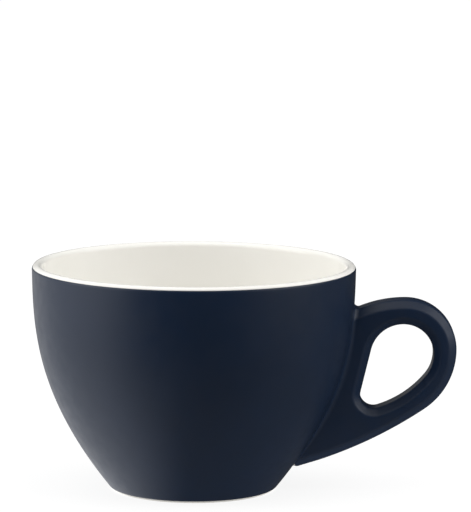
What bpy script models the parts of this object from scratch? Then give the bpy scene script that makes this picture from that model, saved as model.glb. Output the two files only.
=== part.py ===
"""A handled coffee cup in glazed porcelain, with each body of material as its own solid.

The bowl and the handle are cast apart and stuck together with slip. A dark glaze covers the
outside, and a white glaze covers the inside, the lip and the recess under the foot.
Metres, +Z up, with the foot on z = 0 and the handle towards +X.
"""

import math

import bmesh
import bpy
from mathutils import Vector

# Bowl, measured over the fired glaze.
RIM_DIAMETER = 0.1000
CUP_HEIGHT = 0.0702
LIP_THICKNESS = 0.0032
LIP_LEAN = math.radians(1.2)
UPPER_FULLNESS = 0.0179
LOWER_FULLNESS = 0.0368
WALL_LEAN = math.radians(38.5)
LOWER_WALL = 0.0046
INSIDE_CORNER = 0.0140
FLOOR_THICKNESS = 0.0046

# Foot: the dark glaze stops a little above the table, and the ring below it is bare.
FOOT_DIAMETER = 0.0512
GLAZE_EDGE_HEIGHT = 0.0006
FOOT_CORNER = 0.0030
FOOT_CORNER_LEAN = math.radians(57.0)
FOOT_RING_ROUND = 0.0006
FOOT_RING_WIDTH = 0.0048
RECESS_DEPTH = 0.0024
RECESS_CORNER = 0.0015

# Coats and joints.
GLAZE = 0.00035
BOND = 0.00005
SLIP = 0.0007
LIP_LINE = math.radians(63.5)

# Handle outline in the XZ plane, measured over the glaze.
HANDLE_PROJECTION = 0.0312
CREST_DROP = 0.0105
CREST_RADIUS = 0.01575
SHOULDER_RADIUS = 0.0373
BACK_RADIUS = 0.0224
TAIL_RADIUS = 0.1340
TAIL_HEIGHT = 0.0067

# How far the handle's blank runs into the bowl, where the wall trims it.
TAIL_DEPTH = 0.0120
SHOULDER_DEPTH = 0.0060

# Finger hole, which leaves a limb over the finger, one behind it and a root along the wall.
CREST_LIMB = 0.00775
BACK_LIMB = 0.00715
ROOT_TOP = 0.0070
ROOT_HEEL = 0.0088
HOLE_RADIUS = 0.00925
HOLE_BACK_RADIUS = 0.0108
HOLE_BACK_SWEEP = math.radians(39.3)
HOLE_FLOOR_RADIUS = 0.0310
HEEL_RADIUS = 0.0042

# Handle section: a slab whose edges are rounded, outside and round the finger hole.
HANDLE_THICKNESS = 0.0110
EDGE_ROUND = 0.0030
HOLE_ROUND = 0.0029
LEAST_FLAT = 0.0004

# Fillet of glaze all round the joint of the handle and the wall.
JOINT_FILLET = 0.0013

# Facets.
TURN_STEPS = 48
WALL_STEPS = 7
LIP_STEPS = 5
CORNER_STEPS = 3
FOOT_STEPS = 2
ROUND_STEPS = 3
CREST_STEPS = 8
BACK_STEPS = 6
TAIL_STEPS = 3
HEEL_STEPS = 6
ROOT_STEPS = 2
SHOULDER_STEPS = 6
FILLET_STEPS = 3

COAT = GLAZE + BOND
RIM_RADIUS = RIM_DIAMETER / 2
LIP_RADIUS = LIP_THICKNESS / 2
FOOT_RADIUS = FOOT_DIAMETER / 2
FLOOR_HEIGHT = RECESS_DEPTH + FLOOR_THICKNESS
UNDER_TABLE = -0.005
QUARTER = math.pi / 2

# Settings of the working, not sizes of the cup.
HALVINGS = 60
SMALL = 1e-4
NEAR_LIP = 0.05
NEAR_FOOT = 0.98
LEAST_SWEEP = math.radians(15)
MOST_SWEEP = math.radians(85)
SHARP_EDGE = math.radians(32)
WELD = 1e-7


# Plane geometry. Points are 2-D vectors: radius or x first, height second.
def direction(angle):
    return Vector((math.cos(angle), math.sin(angle)))


def angle_of(vector):
    return math.atan2(vector.y, vector.x)


def arc(centre, radius, start, end, steps):
    """Points along an arc, with its first point and without its last."""
    turn = (end - start) / steps
    return [centre + direction(start + turn * i) * radius for i in range(steps)]


def line(start, end, steps):
    """Points along a straight run, with its first point and without its last."""
    return [start.lerp(end, i / steps) for i in range(steps)]


def left_of(start, end):
    along = (end - start).normalized()
    return Vector((-along.y, along.x))


def offset(path, distance, closed=False):
    """The path moved to its left, with every edge kept parallel to where it was."""
    normals = [left_of(a, b) for a, b in zip(path, path[1:] + path[:1])]
    if closed:
        before = normals[-1:] + normals[:-1]
    else:
        normals[-1] = normals[-2]
        before = normals[:1] + normals[:-1]
    return [
        point + (a + b) * (distance / (1 + a.dot(b)))
        for point, a, b in zip(path, before, normals)
    ]


def solve(function, low, high):
    """Where a function that is negative at low and positive at high crosses zero."""
    for _ in range(HALVINGS):
        middle = (low + high) / 2
        if function(middle) < 0:
            low = middle
        else:
            high = middle
    return (low + high) / 2


# Bowl profile. Paths run up the inside, over the lip and down the outside.
def foot_corner_centre():
    edge = Vector((FOOT_RADIUS, GLAZE_EDGE_HEIGHT))
    return edge - direction(-FOOT_CORNER_LEAN) * FOOT_CORNER


def outer_curve(t):
    """The outer wall as a Bezier curve, from the lip at t = 0 to the foot corner at t = 1."""
    lip = Vector((RIM_RADIUS, CUP_HEIGHT - LIP_RADIUS))
    foot = foot_corner_centre() + direction(-WALL_LEAN) * FOOT_CORNER
    upper = lip - Vector((math.sin(LIP_LEAN), math.cos(LIP_LEAN))) * UPPER_FULLNESS
    lower = foot + Vector((math.sin(WALL_LEAN), math.cos(WALL_LEAN))) * LOWER_FULLNESS
    s = 1 - t
    return lip * s**3 + upper * (3 * s * s * t) + lower * (3 * s * t * t) + foot * t**3


def slope_angle(curve, t):
    """How steep a curve that runs down and inwards is, from level."""
    run = curve(t - SMALL) - curve(t + SMALL)
    return angle_of(run)


def inner_curve(t):
    """The inner wall, which thickens from the lip down."""
    steep = slope_angle(outer_curve, t)
    inwards = Vector((-math.sin(steep), math.cos(steep)))
    return outer_curve(t) + inwards * (LIP_THICKNESS + (LOWER_WALL - LIP_THICKNESS) * t)


def outer_path():
    """Outside of the glaze from under the lip to its edge above the foot."""
    wall = [outer_curve(i / WALL_STEPS) for i in range(WALL_STEPS)]
    centre = foot_corner_centre()
    corner = arc(centre, FOOT_CORNER, -WALL_LEAN, -FOOT_CORNER_LEAN, FOOT_STEPS)
    return wall + corner + [Vector((FOOT_RADIUS, GLAZE_EDGE_HEIGHT))]


def inner_path():
    """Surface of the white glaze from the middle of the floor up to the lip."""

    def above_arc(t):
        rise = INSIDE_CORNER * (1 - math.cos(slope_angle(inner_curve, t)))
        return FLOOR_HEIGHT + rise - inner_curve(t).y

    last = solve(above_arc, NEAR_LIP, NEAR_FOOT)
    steep = slope_angle(inner_curve, last)
    start = inner_curve(last)
    centre = start + Vector((-math.sin(steep), math.cos(steep))) * INSIDE_CORNER
    corner = arc(centre, INSIDE_CORNER, -QUARTER, steep - QUARTER, CORNER_STEPS)
    wall = [inner_curve(last * (1 - i / WALL_STEPS)) for i in range(WALL_STEPS)]
    return [Vector((0, FLOOR_HEIGHT))] + corner + wall


def lip_arc(start, end, steps):
    """Part of the lip's round, by angle from straight up, positive outwards."""
    centre = Vector((RIM_RADIUS - LIP_RADIUS, CUP_HEIGHT - LIP_RADIUS))
    return arc(centre, LIP_RADIUS, QUARTER - start, QUARTER - end, steps)


def glazed_path():
    """All of the bowl's glazed surface, from the middle of the floor to the edge at the foot."""
    white_lip = lip_arc(-QUARTER, LIP_LINE, LIP_STEPS)
    dark_lip = lip_arc(LIP_LINE, QUARTER, 1)
    return inner_path() + white_lip + dark_lip + outer_path()


def colour_change():
    """Index of the glazed path's point on the lip where white meets dark."""
    return len(inner_path()) + LIP_STEPS


def shortened(path):
    """The path with its end drawn back by the gap that a coat keeps to its neighbour."""
    back = (path[-2] - path[-1]).normalized()
    return path[:-1] + [path[-1] + back * BOND]


def dark_coat():
    surface = glazed_path()[colour_change() :]
    under = offset(glazed_path(), -GLAZE)[colour_change() :]
    return surface + under[::-1]


def white_coat():
    last = colour_change() + 1
    surface = glazed_path()[:last]
    under = offset(glazed_path(), -GLAZE)[:last]
    return shortened(surface) + shortened(under)[::-1]


def recess_path():
    """Bare clay under the cup, from inside the foot ring up to the middle of the recess."""
    ring_inside = FOOT_RADIUS - FOOT_RING_WIDTH
    centre = Vector((ring_inside - RECESS_CORNER, RECESS_DEPTH - RECESS_CORNER))
    corner = arc(centre, RECESS_CORNER, 0, QUARTER, CORNER_STEPS)
    top = [Vector((centre.x, RECESS_DEPTH)), Vector((0, RECESS_DEPTH))]
    return [Vector((ring_inside, FOOT_RING_ROUND))] + corner + top


def foot_coat():
    return offset(recess_path(), BOND)[::-1] + offset(recess_path(), COAT)


def bowl_path():
    clay = offset(glazed_path(), -COAT)
    edge = clay[-1]
    rounding = min(FOOT_RING_ROUND, edge.y)
    outside = arc(edge + Vector((-rounding, rounding - edge.y)), rounding, 0, -QUARTER, FOOT_STEPS)
    inside = FOOT_RADIUS - FOOT_RING_WIDTH + FOOT_RING_ROUND
    flat = [Vector((edge.x - rounding, 0)), Vector((inside, 0))]
    return clay + outside + flat + recess_path()


def wall_radius(height):
    path = outer_path()
    for upper, lower in zip(path, path[1:]):
        if lower.y <= height <= upper.y:
            return lower.lerp(upper, (height - lower.y) / (upper.y - lower.y)).x
    return RIM_RADIUS


def wall_out(spot):
    """The way out of the glazed wall at a point on it."""
    above = Vector((wall_radius(spot.z + SMALL), spot.z + SMALL))
    below = Vector((wall_radius(spot.z - SMALL), spot.z - SMALL))
    steep = left_of(above, below)
    return Vector((spot.x, spot.y, 0)).normalized() * steep.x + Vector((0, 0, steep.y))


# Handle outlines, both clockwise from the crest, in stretches that match one to one.
CREST_HEIGHT = CUP_HEIGHT - CREST_DROP
REACH = RIM_RADIUS + HANDLE_PROJECTION
CREST_CENTRE = Vector((REACH - CREST_RADIUS, CREST_HEIGHT - CREST_RADIUS))
BACK_CENTRE = CREST_CENTRE - Vector((BACK_RADIUS - CREST_RADIUS, 0))
SHOULDER_CENTRE = Vector((CREST_CENTRE.x, CREST_HEIGHT - SHOULDER_RADIUS))
HOLE_BACK = Vector((REACH - BACK_LIMB, CREST_HEIGHT - CREST_LIMB - HOLE_RADIUS))
HOLE_CENTRE = HOLE_BACK - Vector((HOLE_RADIUS, 0))
HOLE_BACK_CENTRE = HOLE_BACK - Vector((HOLE_BACK_RADIUS, 0))


def tail_centre(sweep):
    """Centre of the tail's arc if the back's arc turns this far below level before it."""
    return BACK_CENTRE - direction(-sweep) * (TAIL_RADIUS - BACK_RADIUS)


def tail_miss(sweep):
    landing = Vector((wall_radius(TAIL_HEIGHT), TAIL_HEIGHT))
    return (landing - tail_centre(sweep)).length - TAIL_RADIUS


BACK_SWEEP = solve(tail_miss, LEAST_SWEEP, MOST_SWEEP)
TAIL_CENTRE = tail_centre(BACK_SWEEP)
FLOOR_CENTRE = HOLE_BACK_CENTRE - direction(-HOLE_BACK_SWEEP) * (HOLE_FLOOR_RADIUS - HOLE_BACK_RADIUS)


def root_line():
    """A point and direction of the hole's straight side, which follows the wall."""
    low = (TAIL_HEIGHT + CREST_CENTRE.y) / 2
    high = CREST_CENTRE.y
    start = Vector((wall_radius(low) + ROOT_HEEL, low))
    end = Vector((wall_radius(high) + ROOT_TOP, high))
    return start, (end - start).normalized()


def heel_centre():
    """Centre of the round at the hole's lower corner, touching its straight side and its floor."""
    start, along = root_line()
    inwards = -left_of(start, start + along)
    from_floor = start + inwards * HEEL_RADIUS - FLOOR_CENTRE
    clear = HOLE_FLOOR_RADIUS - HEEL_RADIUS
    down = from_floor.dot(along)
    run = down + math.sqrt(down * down - from_floor.length_squared + clear * clear)
    return FLOOR_CENTRE + from_floor - along * run


def hole_outline():
    start, along = root_line()
    inwards = -left_of(start, start + along)
    wall_side = angle_of(-inwards)
    heel = heel_centre()
    heel_angle = angle_of(heel - FLOOR_CENTRE)
    top = HOLE_CENTRE + Vector((0, HOLE_RADIUS))
    shoulder_radius = (top - start).dot(inwards) / (1 + inwards.y)
    shoulder = top - Vector((0, shoulder_radius))
    root = line(heel - inwards * HEEL_RADIUS, shoulder - inwards * shoulder_radius, 2 * ROOT_STEPS)
    return (
        arc(HOLE_CENTRE, HOLE_RADIUS, QUARTER, 0, CREST_STEPS)
        + arc(HOLE_BACK_CENTRE, HOLE_BACK_RADIUS, 0, -HOLE_BACK_SWEEP, BACK_STEPS)
        + arc(FLOOR_CENTRE, HOLE_FLOOR_RADIUS, -HOLE_BACK_SWEEP, heel_angle, TAIL_STEPS)
        + arc(heel, HEEL_RADIUS, heel_angle, wall_side - 2 * math.pi, HEEL_STEPS)
        + root
        + arc(shoulder, shoulder_radius, wall_side, QUARTER, SHOULDER_STEPS)
    )


def tail_angles():
    """Where the tail's arc passes the hole's lower corner and where it ends inside the bowl."""
    end = wall_radius(TAIL_HEIGHT) - TAIL_DEPTH
    return angle_of(heel_centre() - TAIL_CENTRE), -math.acos((end - TAIL_CENTRE.x) / TAIL_RADIUS)


def shoulder_start():
    """Where the shoulder's arc starts inside the bowl."""
    start = wall_radius(CREST_CENTRE.y) - SHOULDER_DEPTH
    return math.acos((start - SHOULDER_CENTRE.x) / SHOULDER_RADIUS)


def edge_outline():
    """The outer edge, which runs on into the bowl, where the wall trims it."""
    heel_angle, end_angle = tail_angles()
    shoulder_angle = shoulder_start()
    lower = TAIL_CENTRE + direction(end_angle) * TAIL_RADIUS
    upper = SHOULDER_CENTRE + direction(shoulder_angle) * SHOULDER_RADIUS
    corner = Vector((lower.x, upper.y))
    return (
        arc(CREST_CENTRE, CREST_RADIUS, QUARTER, 0, CREST_STEPS)
        + arc(BACK_CENTRE, BACK_RADIUS, 0, -BACK_SWEEP, BACK_STEPS)
        + arc(TAIL_CENTRE, TAIL_RADIUS, -BACK_SWEEP, heel_angle, TAIL_STEPS)
        + arc(TAIL_CENTRE, TAIL_RADIUS, heel_angle, end_angle, HEEL_STEPS)
        + line(lower, corner, ROOT_STEPS)
        + line(corner, upper, ROOT_STEPS)
        + arc(SHOULDER_CENTRE, SHOULDER_RADIUS, shoulder_angle, QUARTER, SHOULDER_STEPS)
    )


def section_rounds():
    """Radii of the outer edge and of the hole's edge, drawn in where the limb is slim."""
    limb = min((a - b).length for a, b in zip(edge_outline(), hole_outline()))
    across = (limb - LEAST_FLAT) / (EDGE_ROUND + HOLE_ROUND)
    through = (HANDLE_THICKNESS / 2 - LEAST_FLAT) / max(EDGE_ROUND, HOLE_ROUND)
    share = min(1, across, through)
    return EDGE_ROUND * share, HOLE_ROUND * share


def handle_rings(grow):
    """Loops round the finger hole that skin the handle, grown from its glazed surface."""
    edge_round, hole_round = (radius + grow for radius in section_rounds())
    half = HANDLE_THICKNESS / 2 + grow
    hole = offset(hole_outline(), -grow, closed=True)
    edge = offset(edge_outline(), grow, closed=True)
    angles = [QUARTER * i / ROUND_STEPS for i in range(ROUND_STEPS + 1)]
    front = []
    for angle in angles:
        inset = hole_round * (1 - math.cos(angle))
        depth = half - hole_round * (1 - math.sin(angle))
        front.append((offset(hole, inset, closed=True), depth))
    for angle in reversed(angles):
        inset = edge_round * (1 - math.cos(angle))
        depth = half - edge_round * (1 - math.sin(angle))
        front.append((offset(edge, -inset, closed=True), depth))
    rings = [[(p.x, -depth, p.y) for p in loop] for loop, depth in front]
    rings += [[(p.x, depth, p.y) for p in loop] for loop, depth in reversed(front)]
    return rings


# Joint of the handle and the wall: stations round it, each a point and the way out of the handle.
def end_stations(centre, radius, inside, outside):
    """Stations over an end of the handle, front to back, where its edge enters the wall."""
    edge_round = section_rounds()[0]
    flat = HANDLE_THICKNESS / 2 - edge_round
    turns = [QUARTER * i / ROUND_STEPS for i in range(ROUND_STEPS + 1)]
    stations = []
    for side, turn in [(-1, a) for a in reversed(turns)] + [(0, 0)] + [(1, a) for a in turns]:
        depth = side * (flat + edge_round * math.sin(turn))
        reach = radius - edge_round * (1 - math.cos(turn))

        def proud(angle):
            spot = centre + direction(angle) * reach
            return math.hypot(spot.x, depth) - wall_radius(spot.y)

        angle = solve(proud, inside, outside)
        spot = centre + direction(angle) * reach
        out = direction(angle) * math.cos(turn)
        stations.append((Vector((spot.x, depth, spot.y)), Vector((out.x, side * math.sin(turn), out.y))))
    return stations


def side_stations(start, end):
    """Stations down a flat side of the handle, at the heights where the wall's facets change."""
    out = Vector((0, math.copysign(1, start.y), 0))
    heights = [p.y for p in outer_path() if end.z < p.y < start.z]
    across = [math.sqrt(wall_radius(height) ** 2 - start.y**2) for height in heights]
    return [(Vector((x, start.y, height)), out) for x, height in zip(across, heights)]


def joint_stations():
    heel_angle, end_angle = tail_angles()
    top = end_stations(SHOULDER_CENTRE, SHOULDER_RADIUS, shoulder_start(), QUARTER)
    bottom = end_stations(TAIL_CENTRE, TAIL_RADIUS, end_angle, heel_angle)
    back = side_stations(top[-1][0], bottom[-1][0])
    front = side_stations(top[0][0], bottom[0][0])
    return top + back + bottom[::-1] + front[::-1]


def fillet_rings():
    """Sections of the joint's fillet: a hollow round off the wall that bites into the handle's coat."""
    rings = []
    for spot, out in joint_stations():
        wall = wall_out(spot)
        seat = spot + wall * BOND
        centre = seat + (out + wall) * (JOINT_FILLET / (1 + out.dot(wall))) - out * BOND
        shares = [i / FILLET_STEPS for i in range(FILLET_STEPS + 1)]
        hollow = [centre - wall.lerp(out, share).normalized() * JOINT_FILLET for share in shares]
        along = (out - wall * out.dot(wall)).normalized()
        rings.append(hollow + [hollow[-1] - out * (GLAZE / 2), seat - along * (GLAZE / 2)])
    return rings


# Blender objects.
def clear_scene():
    for old in list(bpy.data.objects):
        bpy.data.objects.remove(old, do_unlink=True)


def finish(name, colour, roughness):
    material = bpy.data.materials.new(name)
    material.use_nodes = True
    shader = material.node_tree.nodes["Principled BSDF"]
    shader.inputs["Base Color"].default_value = (*colour, 1)
    shader.inputs["Roughness"].default_value = roughness
    shader.inputs["Metallic"].default_value = 0
    material.diffuse_color = (*colour, 1)
    return material


def add_object(name, mesh, parent, material=None):
    mesh.shade_smooth()
    mesh.set_sharp_from_angle(angle=SHARP_EDGE)
    piece = bpy.data.objects.new(name, mesh)
    bpy.context.scene.collection.objects.link(piece)
    piece.parent = parent
    if material:
        mesh.materials.append(material)
    else:
        piece.hide_render = True
        piece.display_type = "WIRE"
    return piece


def mesh_of(name, build):
    mesh = bpy.data.meshes.new(name)
    shape = bmesh.new()
    build(shape)
    bmesh.ops.remove_doubles(shape, verts=shape.verts, dist=WELD)
    bmesh.ops.recalc_face_normals(shape, faces=shape.faces)
    shape.to_mesh(mesh)
    shape.free()
    return mesh


def turned(name, path, parent, material=None, closed=False):
    """A solid of revolution about the bowl's axis."""

    def build(shape):
        points = [shape.verts.new((max(p.x, 0), 0, p.y)) for p in path]
        pairs = list(zip(points, points[1:]))
        if closed:
            pairs.append((points[-1], points[0]))
        edges = [shape.edges.new(pair) for pair in pairs]
        bmesh.ops.spin(
            shape,
            geom=points + edges,
            cent=(0, 0, 0),
            axis=(0, 0, 1),
            angle=2 * math.pi,
            steps=TURN_STEPS,
            use_merge=True,
        )

    return add_object(name, mesh_of(name, build), parent, material)


def looped(name, rings, parent, material=None):
    """A ring-shaped solid skinned over closed loops, the last joined to the first."""

    def build(shape):
        loops = [[shape.verts.new(point) for point in ring] for ring in rings]
        for loop, following in zip(loops, loops[1:] + loops[:1]):
            for i in range(len(loop)):
                j = (i + 1) % len(loop)
                shape.faces.new((loop[i], loop[j], following[j], following[i]))

    return add_object(name, mesh_of(name, build), parent, material)


def combine(piece, operation, tool):
    modifier = piece.modifiers.new(f"{operation.lower()} {tool.name}", "BOOLEAN")
    modifier.operation = operation
    modifier.solver = "EXACT"
    modifier.object = tool


def envelope(name, grow, parent):
    """The bowl as a plug without its hollow, for trimming what sits against the wall."""
    side = offset(outer_path(), grow)
    top = [Vector((0, CUP_HEIGHT)), Vector((side[0].x, CUP_HEIGHT))]
    bottom = [Vector((side[-1].x, UNDER_TABLE)), Vector((0, UNDER_TABLE))]
    return turned(name, top + side + bottom, parent)


def build_cup():
    clear_scene()
    cup = bpy.data.objects.new("cup", None)
    bpy.context.scene.collection.objects.link(cup)
    cup.location.x = -HANDLE_PROJECTION / 2

    porcelain = finish("porcelain", (0.80, 0.78, 0.74), 0.60)
    handle_clay = finish("handle_porcelain", (0.80, 0.78, 0.74), 0.60)
    slip_clay = finish("slip", (0.74, 0.71, 0.66), 0.75)
    dark = finish("dark_blue_glaze", (0.010, 0.020, 0.040), 0.42)
    dark_handle = finish("dark_blue_handle_glaze", (0.010, 0.020, 0.040), 0.42)
    white = finish("white_glaze", (0.84, 0.82, 0.77), 0.12)
    white_foot = finish("white_foot_glaze", (0.84, 0.82, 0.77), 0.15)

    seat = BOND + SLIP + BOND - COAT
    clay_plug = envelope("clay_plug", BOND - COAT, cup)
    seat_plug = envelope("seat_plug", seat, cup)
    handle_core = looped("handle_core", handle_rings(-GLAZE), cup)
    handle_outside = looped("handle_outside", handle_rings(BOND), cup)
    slip_band = offset(outer_path(), seat - BOND) + offset(outer_path(), BOND - COAT)[::-1]
    slip_shell = turned("slip_shell", slip_band, cup, closed=True)
    joint_fillet = looped("joint_fillet", fillet_rings(), cup)

    turned("bowl", bowl_path(), cup, porcelain)

    handle = looped("handle", handle_rings(-COAT), cup, handle_clay)
    combine(handle, "DIFFERENCE", seat_plug)

    slip = looped("luting_slip", handle_rings(-COAT), cup, slip_clay)
    combine(slip, "INTERSECT", slip_shell)

    outer = turned("outer_glaze", dark_coat(), cup, dark, closed=True)
    combine(outer, "DIFFERENCE", handle_outside)

    handle_glaze = looped("handle_glaze", handle_rings(0), cup, dark_handle)
    combine(handle_glaze, "DIFFERENCE", clay_plug)
    combine(handle_glaze, "DIFFERENCE", handle_core)
    combine(handle_glaze, "UNION", joint_fillet)

    turned("inner_glaze", white_coat(), cup, white)
    turned("foot_glaze", foot_coat(), cup, white_foot)


build_cup()
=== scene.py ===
"""Looks of a handled coffee cup: finely turned glaze coats, a bare foot ring and a small studio.

Metres, +Z up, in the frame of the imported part: the handle is towards +X and the foot is on z = 0.
"""

import functools
import math

import bmesh
import bpy
import numpy as np
from mathutils import Matrix, Vector


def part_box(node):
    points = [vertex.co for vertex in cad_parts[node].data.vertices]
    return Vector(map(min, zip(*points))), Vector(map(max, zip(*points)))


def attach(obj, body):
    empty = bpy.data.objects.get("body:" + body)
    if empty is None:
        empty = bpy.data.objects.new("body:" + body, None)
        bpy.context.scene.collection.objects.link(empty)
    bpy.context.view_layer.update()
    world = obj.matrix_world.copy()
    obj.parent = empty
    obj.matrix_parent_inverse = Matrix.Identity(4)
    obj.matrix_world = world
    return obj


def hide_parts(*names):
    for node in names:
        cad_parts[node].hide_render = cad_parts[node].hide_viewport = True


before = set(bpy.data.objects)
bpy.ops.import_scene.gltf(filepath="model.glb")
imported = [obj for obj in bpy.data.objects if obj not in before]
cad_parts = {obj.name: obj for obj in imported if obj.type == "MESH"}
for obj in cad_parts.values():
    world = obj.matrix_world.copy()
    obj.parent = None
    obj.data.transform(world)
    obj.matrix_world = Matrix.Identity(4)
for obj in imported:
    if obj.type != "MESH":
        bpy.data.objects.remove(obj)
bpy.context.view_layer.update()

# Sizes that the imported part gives. The radius and the reach are from the bowl's axis.
COAT_LOW, COAT_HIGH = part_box("outer_glaze")
AXIS_X = (COAT_LOW.x + COAT_HIGH.x) / 2
RIM_RADIUS = (COAT_HIGH.x - COAT_LOW.x) / 2
CUP_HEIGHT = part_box("inner_glaze")[1].z
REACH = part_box("handle_glaze")[1].x - AXIS_X

# Bowl, as in the part.
LIP_THICKNESS = 0.0032
LIP_LEAN = math.radians(1.2)
UPPER_FULLNESS = 0.0179
LOWER_FULLNESS = 0.0368
WALL_LEAN = math.radians(38.5)
LOWER_WALL = 0.0046
INSIDE_CORNER = 0.0140
FLOOR_THICKNESS = 0.0046

# Glaze, its bond to the clay and the line on the lip where dark meets white, as in the part.
GLAZE = 0.00035
BOND = 0.00005
LIP_LINE = math.radians(63.5)

# Foot, as in the part.
FOOT_RADIUS = 0.0256
GLAZE_EDGE_HEIGHT = 0.0006
FOOT_CORNER = 0.0030
FOOT_CORNER_LEAN = math.radians(57.0)
FOOT_RING_ROUND = 0.0006
FOOT_RING_WIDTH = 0.0048
RECESS_DEPTH = 0.0024
RECESS_CORNER = 0.0015

# Handle and its finger hole, as in the part.
CREST_DROP = 0.0105
CREST_RADIUS = 0.01575
SHOULDER_RADIUS = 0.0373
BACK_RADIUS = 0.0224
TAIL_RADIUS = 0.1340
TAIL_HEIGHT = 0.0067
CREST_LIMB = 0.00775
BACK_LIMB = 0.00715
ROOT_TOP = 0.0070
ROOT_HEEL = 0.0088
HOLE_RADIUS = 0.00925
HOLE_BACK_RADIUS = 0.0108
HOLE_BACK_SWEEP = math.radians(39.3)
HOLE_FLOOR_RADIUS = 0.0310
HEEL_RADIUS = 0.0042
HANDLE_THICKNESS = 0.0110
EDGE_ROUND = 0.0030
HOLE_ROUND = 0.0029
JOINT_FILLET = 0.0013

# Finer forms of the handle's coat: soft bevels, a blunt tail, and a fillet that swells along the sides.
EDGE_SOFTNESS = 0.0016
TAIL_ROUND = 0.0018
TAIL_FILLET = 0.0006
SIDE_SWELL = 0.0012

# Fineness of the meshes.
TURN_STEPS = 192
WALL_STEPS = 48
LIP_STEPS = 14
INSIDE_STEPS = 16
CORNER_STEPS = 8
BEAD_STEPS = 6
CREST_STEPS = 22
BACK_STEPS = 18
TAIL_STEPS = 12
HEEL_STEPS = 20
SIDE_STEPS = 36
SHOULDER_STEPS = 14
HOLE_STEPS = 20
FLAT_STEPS = 5
EDGE_STEPS = 24
FILLET_STEPS = 8

# Searches: how often one halves its range, and the ranges in which the wall, sweep and tail are found.
HALVINGS = 50
NEAR_LIP = 0.05
NEAR_FOOT = 0.98
LEAST_SWEEP = math.radians(15)
MOST_SWEEP = math.radians(85)
TAIL_SEARCH = 3 * TAIL_ROUND

# A small step along a curve or up the wall, the distance within which points are one, a section's
# shortest edge, and the sine of the most that the tail's blunt end turns.
SMALL = 1e-4
WELD = 1e-7
LEAST_EDGE = 3e-5
MOST_LEAN = 0.97

COAT = GLAZE + BOND
LIP_RADIUS = LIP_THICKNESS / 2
FLOOR_HEIGHT = RECESS_DEPTH + FLOOR_THICKNESS
QUARTER = math.pi / 2


def between(start, end, share):
    """The number that lies a share of the way from start to end."""
    return start + (end - start) * share


def eased(share):
    """A share that starts and ends slowly."""
    return share * share * (3 - 2 * share)


def bulge(share):
    """0 at both ends of a stretch and 1 in its middle."""
    return 4 * share * (1 - share)


def solve(function, low, high):
    """Where a function that is negative at low and positive at high crosses zero."""
    for _ in range(HALVINGS):
        middle = (low + high) / 2
        if function(middle) < 0:
            low = middle
        else:
            high = middle
    return (low + high) / 2


# Plane geometry. Points are 2-D vectors: radius or x first, height second.
def direction(angle):
    return Vector((math.cos(angle), math.sin(angle)))


def angle_of(vector):
    return math.atan2(vector.y, vector.x)


def arc(centre, radius, start, end, steps):
    """Points along an arc, with its first point and without its last."""
    return [centre + direction(between(start, end, i / steps)) * radius for i in range(steps)]


def left_of(start, end):
    along = (end - start).normalized()
    return Vector((-along.y, along.x))


def offset(path, distance):
    """The path moved to its left, with every edge kept parallel to where it was."""
    normals = [left_of(a, b) for a, b in zip(path, path[1:])]
    before = normals[:1] + normals
    after = normals + normals[-1:]
    return [p + (a + b) * (distance / (1 + a.dot(b))) for p, a, b in zip(path, before, after)]


# Bowl profile. Paths run up the inside, over the lip and down the outside.
def foot_corner_centre():
    edge = Vector((FOOT_RADIUS, GLAZE_EDGE_HEIGHT))
    return edge - direction(-FOOT_CORNER_LEAN) * FOOT_CORNER


def outer_curve(t):
    """The outer wall as a Bezier curve, from the lip at t = 0 to the foot corner at t = 1."""
    lip = Vector((RIM_RADIUS, CUP_HEIGHT - LIP_RADIUS))
    foot = foot_corner_centre() + direction(-WALL_LEAN) * FOOT_CORNER
    upper = lip - Vector((math.sin(LIP_LEAN), math.cos(LIP_LEAN))) * UPPER_FULLNESS
    lower = foot + Vector((math.sin(WALL_LEAN), math.cos(WALL_LEAN))) * LOWER_FULLNESS
    s = 1 - t
    return lip * s**3 + upper * (3 * s * s * t) + lower * (3 * s * t * t) + foot * t**3


def slope_angle(curve, t):
    """How steep a curve that runs down and inwards is, from level."""
    return angle_of(curve(t - SMALL) - curve(t + SMALL))


def inner_curve(t):
    """The inner wall, which thickens from the lip down."""
    inwards = direction(slope_angle(outer_curve, t) + QUARTER)
    return outer_curve(t) + inwards * between(LIP_THICKNESS, LOWER_WALL, t)


def outer_wall():
    """Outside of the glaze from under the lip to its edge above the foot."""
    wall = [outer_curve(i / WALL_STEPS) for i in range(WALL_STEPS)]
    corner = arc(foot_corner_centre(), FOOT_CORNER, -WALL_LEAN, -FOOT_CORNER_LEAN, CORNER_STEPS)
    return wall + corner + [Vector((FOOT_RADIUS, GLAZE_EDGE_HEIGHT))]


def inner_wall():
    """Surface of the white glaze from the middle of the floor up to the lip."""

    def arc_above_wall(t):
        rise = INSIDE_CORNER * (1 - math.cos(slope_angle(inner_curve, t)))
        return FLOOR_HEIGHT + rise - inner_curve(t).y

    last = solve(arc_above_wall, NEAR_LIP, NEAR_FOOT)
    steep = slope_angle(inner_curve, last)
    centre = inner_curve(last) + direction(steep + QUARTER) * INSIDE_CORNER
    corner = arc(centre, INSIDE_CORNER, -QUARTER, steep - QUARTER, INSIDE_STEPS)
    wall = [inner_curve(last * (1 - i / WALL_STEPS)) for i in range(WALL_STEPS)]
    return [Vector((0, FLOOR_HEIGHT))] + corner + wall


def lip_arc(start, end, steps):
    """Part of the lip's round, by angle from straight up, positive outwards, without its last point."""
    centre = Vector((RIM_RADIUS - LIP_RADIUS, CUP_HEIGHT - LIP_RADIUS))
    return arc(centre, LIP_RADIUS, QUARTER - start, QUARTER - end, steps)


def white_surface():
    """Surface of the white glaze from the middle of the floor to its line on the lip."""
    line = lip_arc(LIP_LINE, QUARTER, 1)
    return inner_wall() + lip_arc(-QUARTER, LIP_LINE, LIP_STEPS) + line


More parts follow.
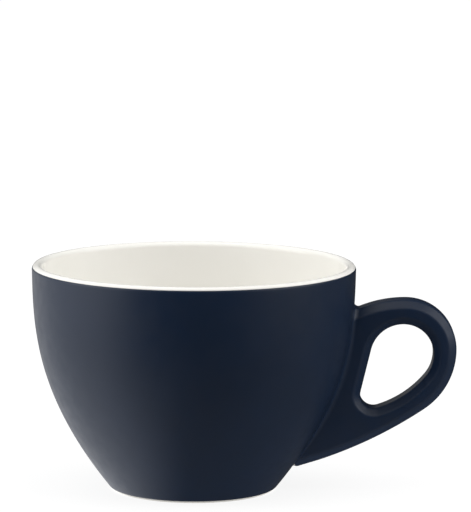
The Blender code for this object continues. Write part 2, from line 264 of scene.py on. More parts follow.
def dark_surface():
    """Surface of the dark glaze from the line on the lip down to its edge above the foot."""
    return lip_arc(LIP_LINE, QUARTER, CORNER_STEPS) + outer_wall()


def pulled_back(path, distance):
    """The path without the last stretch of that length."""
    kept = list(path)
    while (kept[-1] - kept[-2]).length <= distance:
        distance -= (kept[-1] - kept[-2]).length
        kept.pop()
    end = kept[-1] + (kept[-2] - kept[-1]).normalized() * distance
    if (end - kept[-2]).length < LEAST_EDGE:
        kept.pop()
    return kept[:-1] + [end]


def bead(surface, under):
    """The round edge of a coat, from the end of its surface to the end of its underside."""
    centre = (surface[-1] + under[-1]) / 2
    across = (surface[-1] - under[-1]) / 2
    along = (surface[-1] - surface[-2]).normalized() * across.length
    turns = [math.pi * i / BEAD_STEPS for i in range(1, BEAD_STEPS)]
    return [centre + across * math.cos(turn) + along * math.sin(turn) for turn in turns]


def dark_section():
    """Closed section of the dark coat, with a round edge at the lip and at the foot."""
    surface = pulled_back(dark_surface(), GLAZE / 2)
    surface = pulled_back(surface[::-1], GLAZE / 2)[::-1]
    under = offset(surface, -GLAZE)
    foot_edge = bead(surface, under)
    lip_edge = bead(surface[::-1], under[::-1])
    return surface + foot_edge + under[::-1] + lip_edge[::-1] + surface[:1]


def white_section():
    """Section of the white coat, from the axis to its round edge on the lip and back."""
    surface = pulled_back(white_surface(), GLAZE / 2)
    under = offset(surface, -GLAZE)
    return surface + bead(surface, under) + under[::-1]


def recess_path():
    """Bare clay under the cup, from inside the foot ring up to the middle of the recess."""
    ring_inside = FOOT_RADIUS - FOOT_RING_WIDTH
    centre = Vector((ring_inside - RECESS_CORNER, RECESS_DEPTH - RECESS_CORNER))
    corner = arc(centre, RECESS_CORNER, 0, QUARTER, CORNER_STEPS)
    top = [Vector((centre.x, RECESS_DEPTH)), Vector((0, RECESS_DEPTH))]
    return [Vector((ring_inside, FOOT_RING_ROUND))] + corner + top


def recess_section():
    """Section of the recess's coat, from the axis to its round edge inside the foot ring and back."""
    surface = offset(recess_path(), COAT)[::-1]
    under = offset(recess_path(), BOND)[::-1]
    return surface + bead(surface, under) + under[::-1]


def bowl_section():
    """Bare clay under the coats, with the foot ring that shows below them."""
    clay = offset(white_surface()[:-1] + dark_surface(), -COAT)
    edge = clay[-1]
    rounding = min(FOOT_RING_ROUND, edge.y)
    outer_centre = edge + Vector((-rounding, rounding - edge.y))
    inner_centre = Vector((FOOT_RADIUS - FOOT_RING_WIDTH + FOOT_RING_ROUND, FOOT_RING_ROUND))
    ring_outside = arc(outer_centre, rounding, 0, -QUARTER, CORNER_STEPS)
    ring_inside = arc(inner_centre, FOOT_RING_ROUND, -QUARTER, -2 * QUARTER, CORNER_STEPS)
    return clay + ring_outside + ring_inside + recess_path()


WALL_HEIGHTS = [p.y for p in outer_wall()][::-1]
WALL_RADII = [p.x for p in outer_wall()][::-1]


def wall_radius(height):
    return float(np.interp(height, WALL_HEIGHTS, WALL_RADII))


def wall_point(height, outside=0):
    """A point of the wall, or one that lies a distance outside it."""
    return Vector((wall_radius(height) + outside, height))


# Handle outlines in the XZ plane, from the bowl's axis.
CREST_HEIGHT = CUP_HEIGHT - CREST_DROP
CREST_CENTRE = Vector((REACH - CREST_RADIUS, CREST_HEIGHT - CREST_RADIUS))
BACK_CENTRE = CREST_CENTRE - Vector((BACK_RADIUS - CREST_RADIUS, 0))
SHOULDER_CENTRE = Vector((CREST_CENTRE.x, CREST_HEIGHT - SHOULDER_RADIUS))
HOLE_BACK = Vector((REACH - BACK_LIMB, CREST_HEIGHT - CREST_LIMB - HOLE_RADIUS))
HOLE_CENTRE = HOLE_BACK - Vector((HOLE_RADIUS, 0))
HOLE_BACK_CENTRE = HOLE_BACK - Vector((HOLE_BACK_RADIUS, 0))
FLOOR_CENTRE = HOLE_BACK_CENTRE - direction(-HOLE_BACK_SWEEP) * (HOLE_FLOOR_RADIUS - HOLE_BACK_RADIUS)


def tail_centre(sweep):
    """Centre of the tail's arc if the back's arc turns this far below level before it."""
    return BACK_CENTRE - direction(-sweep) * (TAIL_RADIUS - BACK_RADIUS)


def tail_miss(sweep):
    """How far outside the tail's arc the point of the wall is at which the arc should end."""
    return (wall_point(TAIL_HEIGHT) - tail_centre(sweep)).length - TAIL_RADIUS


BACK_SWEEP = solve(tail_miss, LEAST_SWEEP, MOST_SWEEP)
TAIL_CENTRE = tail_centre(BACK_SWEEP)


def root_line():
    """A point and direction of the hole's straight side, which follows the wall."""
    start = wall_point((TAIL_HEIGHT + CREST_CENTRE.y) / 2, ROOT_HEEL)
    end = wall_point(CREST_CENTRE.y, ROOT_TOP)
    return start, (end - start).normalized()


def heel_centre():
    """Centre of the round at the hole's lower corner, touching its straight side and its floor."""
    start, along = root_line()
    inwards = -left_of(start, start + along)
    from_floor = start + inwards * HEEL_RADIUS - FLOOR_CENTRE
    clear = HOLE_FLOOR_RADIUS - HEEL_RADIUS
    down = from_floor.dot(along)
    run = down + math.sqrt(down * down - from_floor.length_squared + clear * clear)
    return FLOOR_CENTRE + from_floor - along * run


def arc_stretch(centre, radius, start, end):
    """A stretch of the hole's outline as a function of the share along it and a distance outside it."""

    def place(share, outside):
        return centre + direction(between(start, end, share)) * (radius + outside)

    return place


def line_stretch(start, end):
    """A straight stretch of the hole's outline, as a function of the same two."""
    away = left_of(start, end)

    def place(share, outside):
        return start.lerp(end, share) + away * outside

    return place


def hole_stretches():
    """The finger hole clockwise from its top: crest, back, floor, heel, root and shoulder."""
    start, along = root_line()
    inwards = -left_of(start, start + along)
    wall_side = angle_of(-inwards)
    heel = heel_centre()
    heel_angle = angle_of(heel - FLOOR_CENTRE)
    top = HOLE_CENTRE + Vector((0, HOLE_RADIUS))
    shoulder_radius = (top - start).dot(inwards) / (1 + inwards.y)
    shoulder = top - Vector((0, shoulder_radius))
    return [
        arc_stretch(HOLE_CENTRE, HOLE_RADIUS, QUARTER, 0),
        arc_stretch(HOLE_BACK_CENTRE, HOLE_BACK_RADIUS, 0, -HOLE_BACK_SWEEP),
        arc_stretch(FLOOR_CENTRE, HOLE_FLOOR_RADIUS, -HOLE_BACK_SWEEP, heel_angle),
        arc_stretch(heel, HEEL_RADIUS, heel_angle, wall_side - 2 * math.pi),
        line_stretch(heel - inwards * HEEL_RADIUS, shoulder - inwards * shoulder_radius),
        arc_stretch(shoulder, shoulder_radius, wall_side, QUARTER),
    ]


# Handle surface, front half. A section runs from the hole's middle over the side to the outer edge.
HALF = HANDLE_THICKNESS / 2
HOLE = hole_stretches()

# How far inside the wall the search for the joint starts, and how far the joint's last row goes into it.
INSIDE_WALL = 0.0080
SINK = 0.0002

# How far sections fan out at an end of the joint, and how many fans away the free ones begin.
END_FAN = 0.0025
CLEAR_FANS = 1.3

# Places round the hole, counted in stretches from its top, that face the ends of the joint.
TAIL_FOOT = 3.55
ROOT_LOW = 3.75
ROOT_HIGH = 5.30
TOP_FOOT = 5.50


def bevel(share, width):
    """Inset, depth and turn along a soft bevel, from the flat side at 0 to the middle plane at 1.

    The turn is a right angle where the surface faces sideways and 0 where it faces out of the edge.
    """
    bend = EDGE_SOFTNESS * QUARTER / 2
    slope = (width - EDGE_SOFTNESS) * math.sqrt(2)
    run = share * (2 * bend + slope + HALF - width)
    bent = min(run, bend) + min(max(run - bend - slope, 0), bend)
    turn = QUARTER - bent / EDGE_SOFTNESS
    down = min(max(run - bend, 0), slope) / math.sqrt(2)
    flat = max(run - 2 * bend - slope, 0)
    inset = width - EDGE_SOFTNESS * math.cos(turn) - down
    depth = HALF - EDGE_SOFTNESS * (1 - math.sin(turn)) - down - flat
    return inset, depth, turn


def hole_side(place):
    """Points round the hole's edge, from its middle to the flat side. Whole places start stretches."""
    stretch = HOLE[int(place) % len(HOLE)]
    points = []
    for i in range(HOLE_STEPS + 1):
        inset, depth, _ = bevel(1 - i / HOLE_STEPS, HOLE_ROUND)
        spot = stretch(place % 1, inset)
        points.append(Vector((spot.x, -depth, spot.y)))
    return points


class EdgeArc:
    """An arc of the handle's outer edge."""

    def __init__(self, centre, radius):
        self.centre = centre
        self.radius = radius

    def blunting(self, angle):
        """How far the edge has turned from its arc, in its own plane, and how far inside the arc it is."""
        return 0, 0

    def spot(self, angle, share):
        """A point of the edge and the way out there, from the flat side at 0 to the middle plane at 1."""
        inset, depth, turn = bevel(share, EDGE_ROUND)
        lean, drop = self.blunting(angle)
        spot = self.centre + direction(angle) * (self.radius - drop - inset)
        out = direction(angle - lean) * math.cos(turn)
        return Vector((spot.x, -depth, spot.y)), Vector((out.x, -math.sin(turn), out.y))


class TailArc(EdgeArc):
    """The tail's arc, which rounds off in a blunt end at the wall."""

    def __init__(self, centre, radius):
        super().__init__(centre, radius)

        def short(height):
            return radius - TAIL_ROUND - (wall_point(height) - centre).length

        height = solve(short, TAIL_HEIGHT, TAIL_HEIGHT + TAIL_SEARCH)
        self.end = angle_of(wall_point(height) - centre)

    def blunting(self, angle):
        past = max((self.end - angle) * self.radius, 0)
        lean = math.asin(min(past / TAIL_ROUND, MOST_LEAN))
        return lean, TAIL_ROUND * (1 - math.cos(lean))


CREST = EdgeArc(CREST_CENTRE, CREST_RADIUS)
BACK = EdgeArc(BACK_CENTRE, BACK_RADIUS)
TAIL = TailArc(TAIL_CENTRE, TAIL_RADIUS)
SHOULDER = EdgeArc(SHOULDER_CENTRE, SHOULDER_RADIUS)


def section(place, edge):
    """A section from the hole to given points at its outer end, always with the same count of points."""
    hole = hole_side(place)
    gaps = FLAT_STEPS + EDGE_STEPS + 2 - len(edge)
    flat = [hole[-1].lerp(edge[0], eased(i / gaps)) for i in range(1, gaps)]
    return hole + flat + edge


def free_sections(edge, start, end, steps, places):
    """Sections of a stretch that stands clear of the wall, without its last."""
    sections = []
    for i in range(steps):
        angle = between(start, end, i / steps)
        spots = [edge.spot(angle, j / EDGE_STEPS)[0] for j in range(EDGE_STEPS + 1)]
        sections.append(section(between(*places, i / steps), spots))
    return sections


# Joint of the handle and the wall, where a ball of the fillet's size rolls along both.
@functools.cache
def ball_path(size):
    path = offset(outer_wall(), size)[::-1]
    return [p.y for p in path], [p.x for p in path]


def ball_radius(height, size):
    """How far from the bowl's axis the ball's centre is when it lies against the wall."""
    return float(np.interp(height, *ball_path(size)))


def wall_out(ball, size):
    """The way out of the wall where a ball lies against it."""
    above = Vector((ball_radius(ball.z + SMALL, size), ball.z + SMALL))
    below = Vector((ball_radius(ball.z - SMALL, size), ball.z - SMALL))
    steep = left_of(above, below)
    return Vector((ball.x, ball.y, 0)).normalized() * steep.x + Vector((0, 0, steep.y))


def fillet(spot, out, size):
    """Points of the hollow round from a spot of the handle to the wall, and one just inside the wall."""
    ball = spot + out * size
    wall = wall_out(ball, size)
    hollow = [ball - out.slerp(wall, i / FILLET_STEPS) * size for i in range(FILLET_STEPS + 1)]
    return hollow + [hollow[-1] - wall * SINK]


def end_joint(edge, inside, outside, size):
    """Angles where the fillets start at an end of the handle, and those fillets, from its flat side up."""

    def gap(angle, share):
        spot, out = edge.spot(angle, share)
        ball = spot + out * size
        return math.hypot(ball.x, ball.y) - ball_radius(ball.z, size)

    angles = []
    fillets = []
    for i in range(EDGE_STEPS + 1):
        share = i / EDGE_STEPS
        angle = solve(functools.partial(gap, share=share), inside, outside)
        angles.append(angle)
        fillets.append(fillet(*edge.spot(angle, share), size))
    return angles, fillets


def end_sections(edge, angles, fan, places):
    """Sections that reach the joint at an end, from the one on the middle plane to the one on the side."""
    sections = []
    for last in range(EDGE_STEPS, -1, -1):
        spots = []
        for i in range(last + 1):
            angle = angles[i] + fan * (last - i) / EDGE_STEPS
            spots.append(edge.spot(angle, i / EDGE_STEPS)[0])
        sections.append(section(between(*places, 1 - last / EDGE_STEPS), spots))
    return sections


def side_fillets(start, end):
    """Fillets along the flat side of the root, between its two ends."""
    sideways = Vector((0, -1, 0))
    fillets = []
    for i in range(1, SIDE_STEPS):
        share = i / SIDE_STEPS
        height = between(start.z, end.z, share)
        size = between(TAIL_FILLET, JOINT_FILLET, share) + SIDE_SWELL * bulge(share)
        across = math.sqrt(ball_radius(height, size) ** 2 - (HALF + size) ** 2)
        fillets.append(fillet(Vector((across, -HALF, height)), sideways, size))
    return fillets


def handle_surface():
    """Sections right round the hole, and the fillets along the joint with the wall."""
    heel_angle = angle_of(heel_centre() - TAIL_CENTRE)
    tail_inside = wall_radius(TAIL_HEIGHT) - INSIDE_WALL
    tail_end = -math.acos((tail_inside - TAIL_CENTRE.x) / TAIL_RADIUS)
    shoulder_inside = wall_radius(CREST_CENTRE.y) - INSIDE_WALL
    shoulder_end = math.acos((shoulder_inside - SHOULDER_CENTRE.x) / SHOULDER_RADIUS)
    low_angles, low_fillets = end_joint(TAIL, tail_end, heel_angle, TAIL_FILLET)
    top_angles, top_fillets = end_joint(SHOULDER, shoulder_end, QUARTER, JOINT_FILLET)
    sides = side_fillets(low_fillets[0][0], top_fillets[0][0])

    low_fan = END_FAN / TAIL_RADIUS
    top_fan = -END_FAN / SHOULDER_RADIUS
    tail_clear = max(low_angles) + CLEAR_FANS * low_fan
    shoulder_clear = min(top_angles) + CLEAR_FANS * top_fan
    side_sections = []
    for i, hollow in enumerate(sides, 1):
        side_sections.append(section(between(ROOT_LOW, ROOT_HIGH, i / SIDE_STEPS), hollow[:1]))

    sections = (
        free_sections(CREST, QUARTER, 0, CREST_STEPS, (0, 1))
        + free_sections(BACK, 0, -BACK_SWEEP, BACK_STEPS, (1, 2))
        + free_sections(TAIL, -BACK_SWEEP, heel_angle, TAIL_STEPS, (2, 3))
        + free_sections(TAIL, heel_angle, tail_clear, HEEL_STEPS, (3, TAIL_FOOT))
        + end_sections(TAIL, low_angles, low_fan, (TAIL_FOOT, ROOT_LOW))
        + side_sections
        + end_sections(SHOULDER, top_angles, top_fan, (TOP_FOOT, ROOT_HIGH))[::-1]
        + free_sections(SHOULDER, shoulder_clear, QUARTER, SHOULDER_STEPS, (TOP_FOOT, len(HOLE)))
    )
    return sections, low_fillets[::-1] + sides + top_fillets


# Meshes.
def add_piece(name, mesh, material):
    piece = bpy.data.objects.new(name, mesh)
    bpy.context.scene.collection.objects.link(piece)
    mesh.materials.clear()
    mesh.materials.append(material)
    mesh.shade_smooth()
    return piece


def face_outwards(mesh):
    shape = bmesh.new()
    shape.from_mesh(mesh)
    bmesh.ops.remove_doubles(shape, verts=shape.verts, dist=WELD)
    bmesh.ops.recalc_face_normals(shape, faces=shape.faces)
    shape.to_mesh(mesh)
    shape.free()


def skin(shape, rows, closed=False):
    """Faces between rows of points, and also from the last row to the first where they are closed."""
    made = [[shape.verts.new(point) for point in row] for row in rows]
    next_rows = made[1:] + made[:1] if closed else made[1:]
    for row, following in zip(made, next_rows):
        for corners in zip(row, row[1:], following[1:], following):
            shape.faces.new(corners)


def handle_piece(name, material):
    """The handle's coat: a front half and its mirror image, closed inside the wall."""
    sections, fillets = handle_surface()
    middle = [Vector((hollow[-1].x, 0, hollow[-1].z)) for hollow in fillets]
    shape = bmesh.new()
    skin(shape, sections, closed=True)
    skin(shape, [hollow + [point] for hollow, point in zip(fillets, middle)])
    bmesh.ops.remove_doubles(shape, verts=shape.verts, dist=WELD)
    front_half = shape.verts[:] + shape.edges[:] + shape.faces[:]
    bmesh.ops.mirror(shape, geom=front_half, axis="Y", merge_dist=WELD)
    bmesh.ops.translate(shape, verts=shape.verts, vec=(AXIS_X, 0, 0))
    mesh = bpy.data.meshes.new(name)
    shape.to_mesh(mesh)
    shape.free()
    face_outwards(mesh)
    return add_piece(name, mesh, material)


# Nodes.
def add_node(tree, kind, inputs=None, **settings):
    """A node with its settings made, and with its inputs given numbers or linked to other nodes."""
    node = tree.nodes.new(kind)
    for name, setting in settings.items():
        setattr(node, name, setting)
    for name, value in (inputs or {}).items():
        if isinstance(value, bpy.types.NodeSocket):
            tree.links.new(value, node.inputs[name])
        else:
            node.inputs[name].default_value = value
    return node


def calculated(tree, operation, *values):
    """The result of an operation on numbers or on other nodes' results."""
    return add_node(tree, "ShaderNodeMath", dict(enumerate(values)), operation=operation).outputs[0]


def chosen(tree, share, first, second):
    """A number that goes from the first to the second as the share goes from 0 to 1."""
    inputs = {"Factor": share, "A": first, "B": second}
    return add_node(tree, "ShaderNodeMix", inputs).outputs["Result"]


# Turning.
TURNING_INPUTS = {
    "Profile": "NodeSocketGeometry",
    "Turn Steps": "NodeSocketInt",
    "Axis X": "NodeSocketFloat",
    "Weld Distance": "NodeSocketFloat",
    "Finish": "NodeSocketMaterial",
}


def turned_position(tree, given, points):
    """Where a grid point goes: its row is a point of the profile, and its column is a step of the turn."""
    index = add_node(tree, "GeometryNodeInputIndex").outputs[0]
    column = calculated(tree, "FLOOR", calculated(tree, "DIVIDE", index, points))
    row = calculated(tree, "MODULO", index, points)
    share = calculated(tree, "DIVIDE", column, given["Turn Steps"])
    angle = calculated(tree, "MULTIPLY", share, 2 * math.pi)
    position = add_node(tree, "GeometryNodeInputPosition").outputs[0]
    inputs = {"Geometry": given["Profile"], "Value": position, "Index": row}
    settings = {"data_type": "FLOAT_VECTOR", "domain": "POINT"}
    sample = add_node(tree, "GeometryNodeSampleIndex", inputs, **settings)
    inputs = {"Vector": sample.outputs[0], "Angle": angle}
    return add_node(tree, "ShaderNodeVectorRotate", inputs, rotation_type="Z_AXIS").outputs[0]


def turning_tree():
    """Geometry nodes that turn a profile, drawn as points in the XZ plane, about the bowl's axis."""
    tree = bpy.data.node_groups.new("turn_profile", "GeometryNodeTree")
    for name, kind in TURNING_INPUTS.items():
        tree.interface.new_socket(name, in_out="INPUT", socket_type=kind)
    tree.interface.new_socket("Turned", in_out="OUTPUT", socket_type="NodeSocketGeometry")

    given = add_node(tree, "NodeGroupInput").outputs
    inputs = {"Geometry": given["Profile"]}
    count = add_node(tree, "GeometryNodeAttributeDomainSize", inputs, component="MESH")
    points = count.outputs["Point Count"]
    columns = calculated(tree, "ADD", given["Turn Steps"], 1)
    grid = add_node(tree, "GeometryNodeMeshGrid", {"Vertices X": columns, "Vertices Y": points})
    position = turned_position(tree, given, points)
    shift = add_node(tree, "ShaderNodeCombineXYZ", {"X": given["Axis X"]}).outputs[0]

    inputs = {"Geometry": grid.outputs["Mesh"], "Position": position, "Offset": shift}
    placed = add_node(tree, "GeometryNodeSetPosition", inputs).outputs[0]
    inputs = {"Geometry": placed, "Distance": given["Weld Distance"]}
    welded = add_node(tree, "GeometryNodeMergeByDistance", inputs).outputs[0]
    real = add_node(tree, "GeometryNodeRealizeInstances", {"Geometry": welded}).outputs[0]
    inputs = {"Geometry": real, "Material": given["Finish"]}
    finished = add_node(tree, "GeometryNodeSetMaterial", inputs).outputs[0]
    add_node(tree, "NodeGroupOutput", {"Turned": finished})
    return tree


def turned_piece(name, tree, path, material):
    """A piece turned from a profile by the tree, made a plain mesh."""
    profile = bpy.data.meshes.new(name + "_profile")
    edges = [(i, i + 1) for i in range(len(path) - 1)]
    profile.from_pydata([(max(p.x, 0), 0, p.y) for p in path], edges, [])
    lathe = bpy.data.objects.new(name + "_profile", profile)
    bpy.context.scene.collection.objects.link(lathe)
    modifier = lathe.modifiers.new("turn", "NODES")
    modifier.node_group = tree
    values = {"Turn Steps": TURN_STEPS, "Axis X": AXIS_X, "Weld Distance": WELD, "Finish": material}
    for item in tree.interface.items_tree:
        if item.name in values:
            modifier[item.identifier] = values[item.name]
    graph = bpy.context.evaluated_depsgraph_get()
    mesh = bpy.data.meshes.new_from_object(lathe.evaluated_get(graph))
    mesh.name = name
    lathe.modifiers.remove(modifier)
    bpy.data.objects.remove(lathe)
    bpy.data.meshes.remove(profile)
    face_outwards(mesh)
    return add_piece(name, mesh, material)


# Finishes, each with two colours that its noise goes between.
NAVY_DEEP = (0.0058, 0.0166, 0.0428)
NAVY_THIN = (0.0066, 0.0181, 0.0467)
WHITE_WARM = (0.88, 0.866, 0.82)
WHITE_CLEAR = (0.90, 0.886, 0.845)
PORCELAIN_PALE = (0.80, 0.78, 0.74)
PORCELAIN_DUSKY = (0.72, 0.70, 0.66)
SLIP_PALE = (0.74, 0.71, 0.66)
SLIP_DUSKY = (0.66, 0.63, 0.58)

# The values between which most of a noise lies.
NOISE_LOW = 0.35
NOISE_HIGH = 0.65


class Finish:
    """A material in the making: its Principled shader and the textures that feed it."""

    def __init__(self, name):
        self.material = bpy.data.materials.new(name)
        self.material.use_nodes = True
        self.tree = self.material.node_tree
        self.shader = self.tree.nodes["Principled BSDF"]
        self.place = add_node(self.tree, "ShaderNodeTexCoord").outputs["Object"]

    def noise(self, waves, layers):
        """Noise with about so many waves in a metre, and so many layers of finer waves on them."""
        inputs = {"Vector": self.place, "Scale": waves, "Detail": layers}
        return add_node(self.tree, "ShaderNodeTexNoise", inputs).outputs["Fac"]

    def ranged(self, noise, low, high):
        """The noise stretched to run from low to high."""
        inputs = {"Value": noise, "From Min": NOISE_LOW, "From Max": NOISE_HIGH}
        inputs.update({"To Min": low, "To Max": high})
        return add_node(self.tree, "ShaderNodeMapRange", inputs).outputs["Result"]

    def feed(self, name, result):
        self.tree.links.new(result, self.shader.inputs[name])

    def colour(self, noise, first, second):
        inputs = {"Factor": self.ranged(noise, 0, 1), "A": (*first, 1), "B": (*second, 1)}
        mixed = add_node(self.tree, "ShaderNodeMix", inputs, data_type="RGBA")
        self.feed("Base Color", mixed.outputs["Result"])

    def roughness(self, noise, least, most):
        self.feed("Roughness", self.ranged(noise, least, most))

    def bump(self, noise, height):
        bumped = add_node(self.tree, "ShaderNodeBump", {"Height": noise, "Distance": height})
        self.feed("Normal", bumped.outputs["Normal"])


def navy_satin(name):
    """Dark blue satin glaze: slightly pooled colour, and a fine eggshell grain that breaks the gloss."""
    finish = Finish(name)
    finish.colour(finish.noise(waves=55, layers=4), NAVY_DEEP, NAVY_THIN)
    finish.roughness(finish.noise(waves=240, layers=3), least=0.36, most=0.42)
    finish.bump(finish.noise(waves=1400, layers=2), height=0.000003)
    return finish.material


def white_gloss(name):
    """White glaze over porcelain: clear gloss, a faint warm cloudiness and a slow ripple."""
    finish = Finish(name)
    finish.colour(finish.noise(waves=40, layers=3), WHITE_WARM, WHITE_CLEAR)
    finish.roughness(finish.noise(waves=180, layers=2), least=0.10, most=0.15)
    finish.bump(finish.noise(waves=220, layers=2), height=0.000015)
    return finish.material


def bare_porcelain(name, pale, dusky):
    """Unglazed fired clay: matte, with a sandy grain."""
    finish = Finish(name)
    finish.colour(finish.noise(waves=420, layers=5), pale, dusky)
    finish.roughness(finish.noise(waves=900, layers=3), least=0.58, most=0.74)
    finish.bump(finish.noise(waves=2200, layers=4), height=0.00004)
    return finish.material


# Studio.
def studio_way(azimuth, elevation):
    """A direction in the studio: 0 is towards the camera, and positive is to its right."""
    turn = math.radians(azimuth)
    rise = math.radians(elevation)
    return Vector((math.sin(turn) * math.cos(rise), -math.cos(turn) * math.cos(rise), math.sin(rise)))


WHITE = (1, 1, 1, 1)

# Sides of the studio.
FRONT_WAY = studio_way(0, 0)
TOP_WAY = studio_way(0, 62)
BRIGHT_WAY = studio_way(-90, 5)

# Degrees from a side at which a grading towards it starts and is complete.
BRIGHT_SPREAD = (100, 40)
TOP_SPREAD = (70, 25)
FRONT_SPREAD = (76, 48)
MIRRORED_SPREAD = (88, 52)
FLOOR_SPREAD = (66, 15)
CLOSE_SPREAD = (90, 15)
CAST_SPREAD = (75, 40)

# World: light on the cup from the sides and from above, and what reflections show of the walls, away
# from the bright side and on it.
SIDE_LIGHT = 0.57
TOP_LIGHT = 1.70
WALL_MIRRORED = (0.02, 0.60)

# Floor: half its width, the grey of its paper, its glow to the eye, and the distances from the cup's
# axis between which a point of it is near and far.
FLOOR_SIZE = 6.0
PAPER = 0.16
FLOOR_GLOW = 0.87
NEAR_CUP = 0.04
FAR_FROM_CUP = 0.18

# What reflections show of the floor, away from the bright side and on it, far from the cup and near it: a
# painted reflection, a glow of the floor that only reflections see.
FAR_MIRRORED = (0.06, 0.85)
NEAR_MIRRORED = (0.08, 1.0)

# Light that the floor casts on the cup, in front, far and near, and on the other and the bright side:
# painted light, a glow of the floor, which is no lamp.
FRONT_CAST = (0.05, 0.80)
SIDE_CAST = (1.35, 1.80)

# Point that the lamps face.
LAMP_AIM = Vector((AXIS_X, 0, 0.04))

# Camera, as in the photograph: lens and sensor in millimetres, farthest view, place and turns.
LENS = 276.3
SENSOR = 36
FARTHEST_VIEW = 50
CAMERA_RIGHT = 0.01277
CAMERA_BACK = 1.199
CAMERA_HEIGHT = 0.2477
CAMERA_TILT = math.radians(8.31)
CAMERA_ROLL = math.radians(0.30)


def area_lamp(name, place, size, power):
    """A square lamp that faces the cup, placed from the bowl's axis."""
    lamp = bpy.data.lights.new(name, "AREA")
    lamp.shape = "SQUARE"
    lamp.size = size
    lamp.energy = power
    holder = bpy.data.objects.new(name, lamp)
    holder.location = Vector((AXIS_X, 0, 0)) + Vector(place)
    holder.rotation_euler = (LAMP_AIM - holder.location).to_track_quat("-Z", "Y").to_euler()
    bpy.context.scene.collection.objects.link(holder)


def graded(tree, way, side, spread):
    """1 towards a side of the studio, with a smooth fall to 0 away from it."""
    towards = add_node(tree, "ShaderNodeVectorMath", {0: way, 1: side}, operation="DOT_PRODUCT")
    start, complete = [math.cos(math.radians(angle)) for angle in spread]
    inputs = {"Value": towards.outputs["Value"], "From Min": start, "From Max": complete}
    return add_node(tree, "ShaderNodeMapRange", inputs, interpolation_type="SMOOTHSTEP").outputs["Result"]


def by_ray(tree, seen, mirrored, cast):
    """One strength to the eye and through glass, one in reflections, and one as light on the cup."""
    ray = add_node(tree, "ShaderNodeLightPath").outputs
    strength = chosen(tree, ray["Is Glossy Ray"], cast, mirrored)
    strength = chosen(tree, ray["Is Transmission Ray"], strength, seen)
    return chosen(tree, ray["Is Camera Ray"], strength, seen)


def lit_side(tree, way, other_side, bright_side):
    """The studio's brightness: most on the left, less elsewhere."""
    return chosen(tree, graded(tree, way, BRIGHT_WAY, BRIGHT_SPREAD), other_side, bright_side)


def dark_front(tree, way, spread, elsewhere, front=0):
    """A brightness that falls off in front, where the room is darker."""
    return chosen(tree, graded(tree, way, FRONT_WAY, spread), elsewhere, front)


def white_world():
    """White to the eye, with a soft light on the cup that leaves out the dark room in front."""
    world = bpy.data.worlds.new("studio")
    world.use_nodes = True
    world.cycles.sampling_method = "NONE"
    tree = world.node_tree
    background = tree.nodes["Background"].inputs
    background["Color"].default_value = WHITE
    way = add_node(tree, "ShaderNodeTexCoord").outputs["Generated"]
    mirrored = dark_front(tree, way, MIRRORED_SPREAD, lit_side(tree, way, *WALL_MIRRORED))
    sky = chosen(tree, graded(tree, way, TOP_WAY, TOP_SPREAD), SIDE_LIGHT, TOP_LIGHT)
    cast = dark_front(tree, way, FRONT_SPREAD, sky)
    tree.links.new(by_ray(tree, 1, mirrored, cast), background["Strength"])
    bpy.context.scene.world = world


def from_cup(tree):
    """The way from the cup to a point of the floor, and how near it is: 1 by the cup and 0 away from it."""
    place = add_node(tree, "ShaderNodeTexCoord").outputs["Object"]
    inputs = {0: place, 1: (AXIS_X, 0, 0)}
    apart = add_node(tree, "ShaderNodeVectorMath", inputs, operation="SUBTRACT").outputs["Vector"]
    way = add_node(tree, "ShaderNodeVectorMath", {0: apart}, operation="NORMALIZE").outputs["Vector"]
    distance = add_node(tree, "ShaderNodeVectorMath", {0: apart}, operation="LENGTH").outputs["Value"]
    inputs = {"Value": distance, "From Min": NEAR_CUP, "From Max": FAR_FROM_CUP, "To Min": 1, "To Max": 0}
    return way, add_node(tree, "ShaderNodeMapRange", inputs).outputs["Result"]


def floor_paper():
    """Paper that the eye sees as nearly white. In reflections and on the cup it glows with painted
    reflection and painted light, bright by the cup on the left and dark in front, and reflections do not
    see its grey.
    """
    material = bpy.data.materials.new("floor_paper")
    material.use_nodes = True
    material.cycles.emission_sampling = "NONE"
    tree = material.node_tree
    shader = tree.nodes["Principled BSDF"].inputs
    shader["Roughness"].default_value = 1
    shader["Specular IOR Level"].default_value = 0
    shader["Emission Color"].default_value = WHITE
    tree.links.new(by_ray(tree, PAPER, 0, PAPER), shader["Base Color"])

    # Painted reflection and painted light: the floor's glow, graded by side and by distance from the cup.
    way, near = from_cup(tree)
    distant = dark_front(tree, way, FLOOR_SPREAD, lit_side(tree, way, *FAR_MIRRORED))
    close = chosen(tree, graded(tree, way, BRIGHT_WAY, CLOSE_SPREAD), *NEAR_MIRRORED)
    mirrored = chosen(tree, near, distant, close)
    front = chosen(tree, near, *FRONT_CAST)
    cast = dark_front(tree, way, CAST_SPREAD, lit_side(tree, way, *SIDE_CAST), front)
    tree.links.new(by_ray(tree, FLOOR_GLOW, mirrored, cast), shader["Emission Strength"])
    return material


def pale_floor():
    """A wide floor that takes the cup's soft shadow."""
    mesh = bpy.data.meshes.new("floor")
    turns = [(-1, -1), (1, -1), (1, 1), (-1, 1)]
    corners = [(x * FLOOR_SIZE, y * FLOOR_SIZE, 0) for x, y in turns]
    mesh.from_pydata(corners, [], [(0, 1, 2, 3)])
    return add_piece("floor", mesh, floor_paper())


def light_studio():
    """The white background, the floor and three soft lamps."""
    white_world()
    pale_floor()
    area_lamp("key_lamp", place=(-0.82, -0.26, 0.46), size=0.9, power=4.4)
    area_lamp("top_lamp", place=(0, -0.50, 0.98), size=1.2, power=2.7)
    area_lamp("fill_lamp", place=(0.82, -0.26, 0.48), size=0.9, power=3.6)


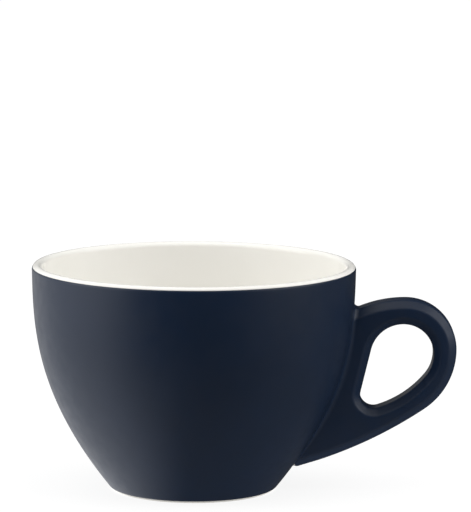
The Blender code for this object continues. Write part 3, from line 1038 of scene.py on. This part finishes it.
def photo_camera():
    """The camera at the photograph's viewing angle and distance."""
    camera = bpy.data.cameras.new("camera")
    camera.lens = LENS
    camera.sensor_width = SENSOR
    camera.clip_end = FARTHEST_VIEW
    holder = bpy.data.objects.new("camera", camera)
    place = Matrix.Translation((AXIS_X + CAMERA_RIGHT, -CAMERA_BACK, CAMERA_HEIGHT))
    tilt = Matrix.Rotation(QUARTER - CAMERA_TILT, 4, "X")
    roll = Matrix.Rotation(CAMERA_ROLL, 4, "Z")
    holder.matrix_world = place @ tilt @ roll
    bpy.context.scene.collection.objects.link(holder)
    bpy.context.scene.camera = holder


def cup_pieces():
    """The smooth pieces of the cup, by the node that each replaces."""
    turning = turning_tree()
    dark_glaze = navy_satin("navy_satin_glaze")
    outer_coat = turned_piece("navy_outer_coat", turning, dark_section(), dark_glaze)
    white_glaze = white_gloss("white_gloss_glaze")
    inner_coat = turned_piece("white_inner_coat", turning, white_section(), white_glaze)
    recess_glaze = white_gloss("recess_glaze")
    recess_coat = turned_piece("white_recess_coat", turning, recess_section(), recess_glaze)
    clay = bare_porcelain("bare_porcelain", PORCELAIN_PALE, PORCELAIN_DUSKY)
    bowl = turned_piece("porcelain_bowl", turning, bowl_section(), clay)
    handle_coat = handle_piece("navy_handle_coat", navy_satin("navy_satin_handle_glaze"))
    return {
        "outer_glaze": outer_coat,
        "inner_glaze": inner_coat,
        "foot_glaze": recess_coat,
        "bowl": bowl,
        "handle_glaze": handle_coat,
    }


def dress_cup():
    """Puts the smooth pieces in place of their nodes, and gives the two nodes that stay their finish."""
    for node, piece in cup_pieces().items():
        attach(piece, "root")
        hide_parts(node)
    kept = {
        "handle": bare_porcelain("handle_porcelain", PORCELAIN_PALE, PORCELAIN_DUSKY),
        "luting_slip": bare_porcelain("fired_slip", SLIP_PALE, SLIP_DUSKY),
    }
    for node, material in kept.items():
        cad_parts[node].data.materials.clear()
        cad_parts[node].data.materials.append(material)


dress_cup()
light_studio()
photo_camera()
bpy.context.scene.view_settings.view_transform = "Standard"
